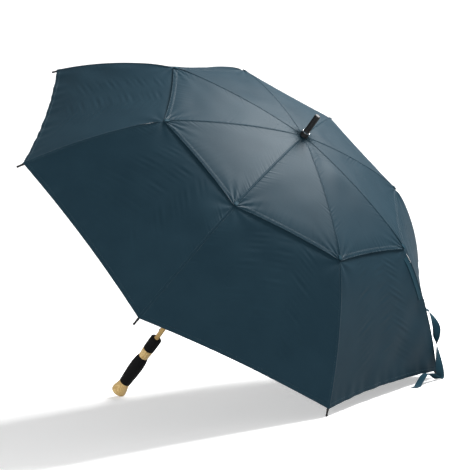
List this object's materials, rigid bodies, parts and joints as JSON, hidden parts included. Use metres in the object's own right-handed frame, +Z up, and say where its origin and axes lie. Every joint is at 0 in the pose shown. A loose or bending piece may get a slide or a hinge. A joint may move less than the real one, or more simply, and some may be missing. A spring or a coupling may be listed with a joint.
{
  "type": "golf umbrella",
  "caption": "Open vented golf umbrella with a folding rib frame, a sliding runner, spring catches and a foam-gripped wooden handle, lying on its handle end and the edge of its canopy.",
  "frame": {"origin": "on the floor, under the middle of the box of the umbrella as it lies open on its pommel and two rib tips", "axes": "+Z up from the floor; the shaft lies in the XZ plane and leans up towards +X, so the ferrule points to +X and +Z; +Y runs across the canopy, along its longest extent"},
  "size_m": [0.9692, 1.1924, 0.9213],
  "materials": {
    "shaft_wood": "satin",
    "handle_wood": "satin",
    "grip_foam": "matte",
    "black_plastic": "satin",
    "fibreglass": "satin",
    "steel": "satin",
    "bright_metal": "polished",
    "canopy_cloth": "satin"
  },
  "bodies": {
    "root": {"shaft": "shaft_wood", "crown": "black_plastic", "crown_wire": "steel", "crown_pin": "steel", "stop_pin": "steel", "catch_pins": "steel", "collar_grip": "grip_foam", "spacer_ring": "handle_wood", "main_grip": "grip_foam", "pommel": "handle_wood", "ferrule": "black_plastic", "ferrule_ring": "bright_metal"},
    "runner": {"runner": "black_plastic"},
    "top_catch": {"top_catch": "steel"},
    "bottom_catch": {"bottom_catch": "steel"},
    "rib_1": {"rib_1_inner": "fibreglass", "canopy_top_1": "canopy_cloth"},
    "rib_1_outer": {"rib_1_outer": "fibreglass", "canopy_panel_1": "canopy_cloth"},
    "stretcher_1": {"stretcher_1": "fibreglass"},
    "rib_2": {"rib_2_inner": "fibreglass", "canopy_top_2": "canopy_cloth"},
    "rib_2_outer": {"rib_2_outer": "fibreglass", "canopy_panel_2": "canopy_cloth"},
    "stretcher_2": {"stretcher_2": "fibreglass"},
    "rib_3": {"rib_3_inner": "fibreglass", "canopy_top_3": "canopy_cloth"},
    "rib_3_outer": {"rib_3_outer": "fibreglass", "canopy_panel_3": "canopy_cloth"},
    "stretcher_3": {"stretcher_3": "fibreglass"},
    "rib_4": {"rib_4_inner": "fibreglass", "canopy_top_4": "canopy_cloth"},
    "rib_4_outer": {"rib_4_outer": "fibreglass", "canopy_panel_4": "canopy_cloth"},
    "stretcher_4": {"stretcher_4": "fibreglass"},
    "rib_5": {"rib_5_inner": "fibreglass", "canopy_top_5": "canopy_cloth"},
    "rib_5_outer": {"rib_5_outer": "fibreglass", "canopy_panel_5": "canopy_cloth", "tie_strap": "canopy_cloth"},
    "stretcher_5": {"stretcher_5": "fibreglass"},
    "rib_6": {"rib_6_inner": "fibreglass", "canopy_top_6": "canopy_cloth"},
    "rib_6_outer": {"rib_6_outer": "fibreglass", "canopy_panel_6": "canopy_cloth"},
    "stretcher_6": {"stretcher_6": "fibreglass"},
    "rib_7": {"rib_7_inner": "fibreglass", "canopy_top_7": "canopy_cloth"},
    "rib_7_outer": {"rib_7_outer": "fibreglass", "canopy_panel_7": "canopy_cloth"},
    "stretcher_7": {"stretcher_7": "fibreglass"},
    "rib_8": {"rib_8_inner": "fibreglass", "canopy_top_8": "canopy_cloth"},
    "rib_8_outer": {"rib_8_outer": "fibreglass", "canopy_panel_8": "canopy_cloth"},
    "stretcher_8": {"stretcher_8": "fibreglass"}
  },
  "joints": [
    {"name": "runner_slide", "type": "slide", "parent": "root", "child": "runner", "axis": [-0.7715, 0, -0.6363], "range_m": [0, 0.54405], "deforming": ["canopy_top_1", "canopy_panel_1", "canopy_top_2", "canopy_panel_2", "canopy_top_3", "canopy_panel_3", "canopy_top_4", "canopy_panel_4", "canopy_top_5", "canopy_panel_5", "canopy_top_6", "canopy_panel_6", "canopy_top_7", "canopy_panel_7", "canopy_top_8", "canopy_panel_8", "tie_strap", "top_catch", "bottom_catch"]},
    {"name": "rib_1_hinge", "type": "hinge", "parent": "root", "child": "rib_1", "pos_m": [0.29076, -0.00459, 0.65891], "axis": [0.2435, -0.9239, -0.2952], "range_deg": [0, 74.82]},
    {"name": "rib_1_flex", "type": "hinge", "parent": "rib_1", "child": "rib_1_outer", "pos_m": [0.024, -0.1417, 0.86796], "axis": [-0.2435, 0.9239, 0.2952], "range_deg": [0, 25]},
    {"name": "stretcher_1_hinge", "type": "hinge", "parent": "rib_1", "child": "stretcher_1", "pos_m": [0.03077, -0.13648, 0.85723], "axis": [-0.2435, 0.9239, 0.2952], "range_deg": [0, 147.34]},
    {"name": "rib_2_hinge", "type": "hinge", "parent": "root", "child": "rib_2", "pos_m": [0.29489, -0.01109, 0.6539], "axis": [0.5878, -0.3827, -0.7128], "range_deg": [0, 74.82]},
    {"name": "rib_2_flex", "type": "hinge", "parent": "rib_2", "child": "rib_2_outer", "pos_m": [0.1515, -0.34209, 0.71336], "axis": [-0.5878, 0.3827, 0.7128], "range_deg": [0, 25]},
    {"name": "stretcher_2_hinge", "type": "hinge", "parent": "rib_2", "child": "stretcher_2", "pos_m": [0.15357, -0.3295, 0.70832], "axis": [-0.5878, 0.3827, 0.7128], "range_deg": [0, 147.34]},
    {"name": "rib_3_hinge", "type": "hinge", "parent": "root", "child": "rib_3", "pos_m": [0.30073, -0.01109, 0.64682], "axis": [0.5878, 0.3827, -0.7128], "range_deg": [0, 74.82]},
    {"name": "rib_3_flex", "type": "hinge", "parent": "rib_3", "child": "rib_3_outer", "pos_m": [0.33181, -0.34209, 0.49473], "axis": [-0.5878, -0.3827, 0.7128], "range_deg": [0, 25]},
    {"name": "stretcher_3_hinge", "type": "hinge", "parent": "rib_3", "child": "stretcher_3", "pos_m": [0.32725, -0.3295, 0.49773], "axis": [-0.5878, -0.3827, 0.7128], "range_deg": [0, 147.34]},
    {"name": "rib_4_hinge", "type": "hinge", "parent": "root", "child": "rib_4", "pos_m": [0.30486, -0.00459, 0.6418], "axis": [0.2435, 0.9239, -0.2952], "range_deg": [0, 74.82]},
    {"name": "rib_4_flex", "type": "hinge", "parent": "rib_4", "child": "rib_4_outer", "pos_m": [0.45931, -0.1417, 0.34013], "axis": [-0.2435, -0.9239, 0.2952], "range_deg": [0, 25]},
    {"name": "stretcher_4_hinge", "type": "hinge", "parent": "rib_4", "child": "stretcher_4", "pos_m": [0.45006, -0.13648, 0.34882], "axis": [-0.2435, -0.9239, 0.2952], "range_deg": [0, 147.34]},
    {"name": "rib_5_hinge", "type": "hinge", "parent": "root", "child": "rib_5", "pos_m": [0.30486, 0.00459, 0.6418], "axis": [-0.2435, 0.9239, 0.2952], "range_deg": [0, 74.82]},
    {"name": "rib_5_flex", "type": "hinge", "parent": "rib_5", "child": "rib_5_outer", "pos_m": [0.45931, 0.1417, 0.34013], "axis": [0.2435, -0.9239, -0.2952], "range_deg": [0, 25]},
    {"name": "stretcher_5_hinge", "type": "hinge", "parent": "rib_5", "child": "stretcher_5", "pos_m": [0.45006, 0.13648, 0.34882], "axis": [0.2435, -0.9239, -0.2952], "range_deg": [0, 147.34]},
    {"name": "rib_6_hinge", "type": "hinge", "parent": "root", "child": "rib_6", "pos_m": [0.30073, 0.01109, 0.64682], "axis": [-0.5878, 0.3827, 0.7128], "range_deg": [0, 74.82]},
    {"name": "rib_6_flex", "type": "hinge", "parent": "rib_6", "child": "rib_6_outer", "pos_m": [0.33181, 0.34209, 0.49473], "axis": [0.5878, -0.3827, -0.7128], "range_deg": [0, 25]},
    {"name": "stretcher_6_hinge", "type": "hinge", "parent": "rib_6", "child": "stretcher_6", "pos_m": [0.32725, 0.3295, 0.49773], "axis": [0.5878, -0.3827, -0.7128], "range_deg": [0, 147.34]},
    {"name": "rib_7_hinge", "type": "hinge", "parent": "root", "child": "rib_7", "pos_m": [0.29489, 0.01109, 0.6539], "axis": [-0.5878, -0.3827, 0.7128], "range_deg": [0, 74.82]},
    {"name": "rib_7_flex", "type": "hinge", "parent": "rib_7", "child": "rib_7_outer", "pos_m": [0.1515, 0.34209, 0.71336], "axis": [0.5878, 0.3827, -0.7128], "range_deg": [0, 25]},
    {"name": "stretcher_7_hinge", "type": "hinge", "parent": "rib_7", "child": "stretcher_7", "pos_m": [0.15357, 0.3295, 0.70832], "axis": [0.5878, 0.3827, -0.7128], "range_deg": [0, 147.34]},
    {"name": "rib_8_hinge", "type": "hinge", "parent": "root", "child": "rib_8", "pos_m": [0.29076, 0.00459, 0.65891], "axis": [-0.2435, -0.9239, 0.2952], "range_deg": [0, 74.82]},
    {"name": "rib_8_flex", "type": "hinge", "parent": "rib_8", "child": "rib_8_outer", "pos_m": [0.024, 0.1417, 0.86796], "axis": [0.2435, 0.9239, -0.2952], "range_deg": [0, 25]},
    {"name": "stretcher_8_hinge", "type": "hinge", "parent": "rib_8", "child": "stretcher_8", "pos_m": [0.03077, 0.13648, 0.85723], "axis": [0.2435, 0.9239, -0.2952], "range_deg": [0, 147.34]},
    {"name": "top_catch_press", "type": "hinge", "parent": "root", "child": "top_catch", "pos_m": [0.11503, 0, 0.50597], "axis": [0, 1, 0], "range_deg": [0, 9], "stiffness_Nm_per_rad": 0.6, "springref_deg": -5.73},
    {"name": "bottom_catch_press", "type": "hinge", "parent": "root", "child": "bottom_catch", "pos_m": [-0.25714, 0, 0.19903], "axis": [0, -1, 0], "range_deg": [0, 9], "stiffness_Nm_per_rad": 0.6, "springref_deg": -5.73}
  ],
  "couplings": [
    {"joint": "rib_1_hinge", "follows": "runner_slide", "rad_per_m": 2.4002},
    {"joint": "rib_1_flex", "follows": "runner_slide", "rad_per_m": 0.802},
    {"joint": "stretcher_1_hinge", "follows": "runner_slide", "rad_per_m": 4.7267},
    {"joint": "rib_2_hinge", "follows": "runner_slide", "rad_per_m": 2.4002},
    {"joint": "rib_2_flex", "follows": "runner_slide", "rad_per_m": 0.802},
    {"joint": "stretcher_2_hinge", "follows": "runner_slide", "rad_per_m": 4.7267},
    {"joint": "rib_3_hinge", "follows": "runner_slide", "rad_per_m": 2.4002},
    {"joint": "rib_3_flex", "follows": "runner_slide", "rad_per_m": 0.802},
    {"joint": "stretcher_3_hinge", "follows": "runner_slide", "rad_per_m": 4.7267},
    {"joint": "rib_4_hinge", "follows": "runner_slide", "rad_per_m": 2.4002},
    {"joint": "rib_4_flex", "follows": "runner_slide", "rad_per_m": 0.802},
    {"joint": "stretcher_4_hinge", "follows": "runner_slide", "rad_per_m": 4.7267},
    {"joint": "rib_5_hinge", "follows": "runner_slide", "rad_per_m": 2.4002},
    {"joint": "rib_5_flex", "follows": "runner_slide", "rad_per_m": 0.802},
    {"joint": "stretcher_5_hinge", "follows": "runner_slide", "rad_per_m": 4.7267},
    {"joint": "rib_6_hinge", "follows": "runner_slide", "rad_per_m": 2.4002},
    {"joint": "rib_6_flex", "follows": "runner_slide", "rad_per_m": 0.802},
    {"joint": "stretcher_6_hinge", "follows": "runner_slide", "rad_per_m": 4.7267},
    {"joint": "rib_7_hinge", "follows": "runner_slide", "rad_per_m": 2.4002},
    {"joint": "rib_7_flex", "follows": "runner_slide", "rad_per_m": 0.802},
    {"joint": "stretcher_7_hinge", "follows": "runner_slide", "rad_per_m": 4.7267},
    {"joint": "rib_8_hinge", "follows": "runner_slide", "rad_per_m": 2.4002},
    {"joint": "rib_8_flex", "follows": "runner_slide", "rad_per_m": 0.802},
    {"joint": "stretcher_8_hinge", "follows": "runner_slide", "rad_per_m": 4.7267}
  ]
}
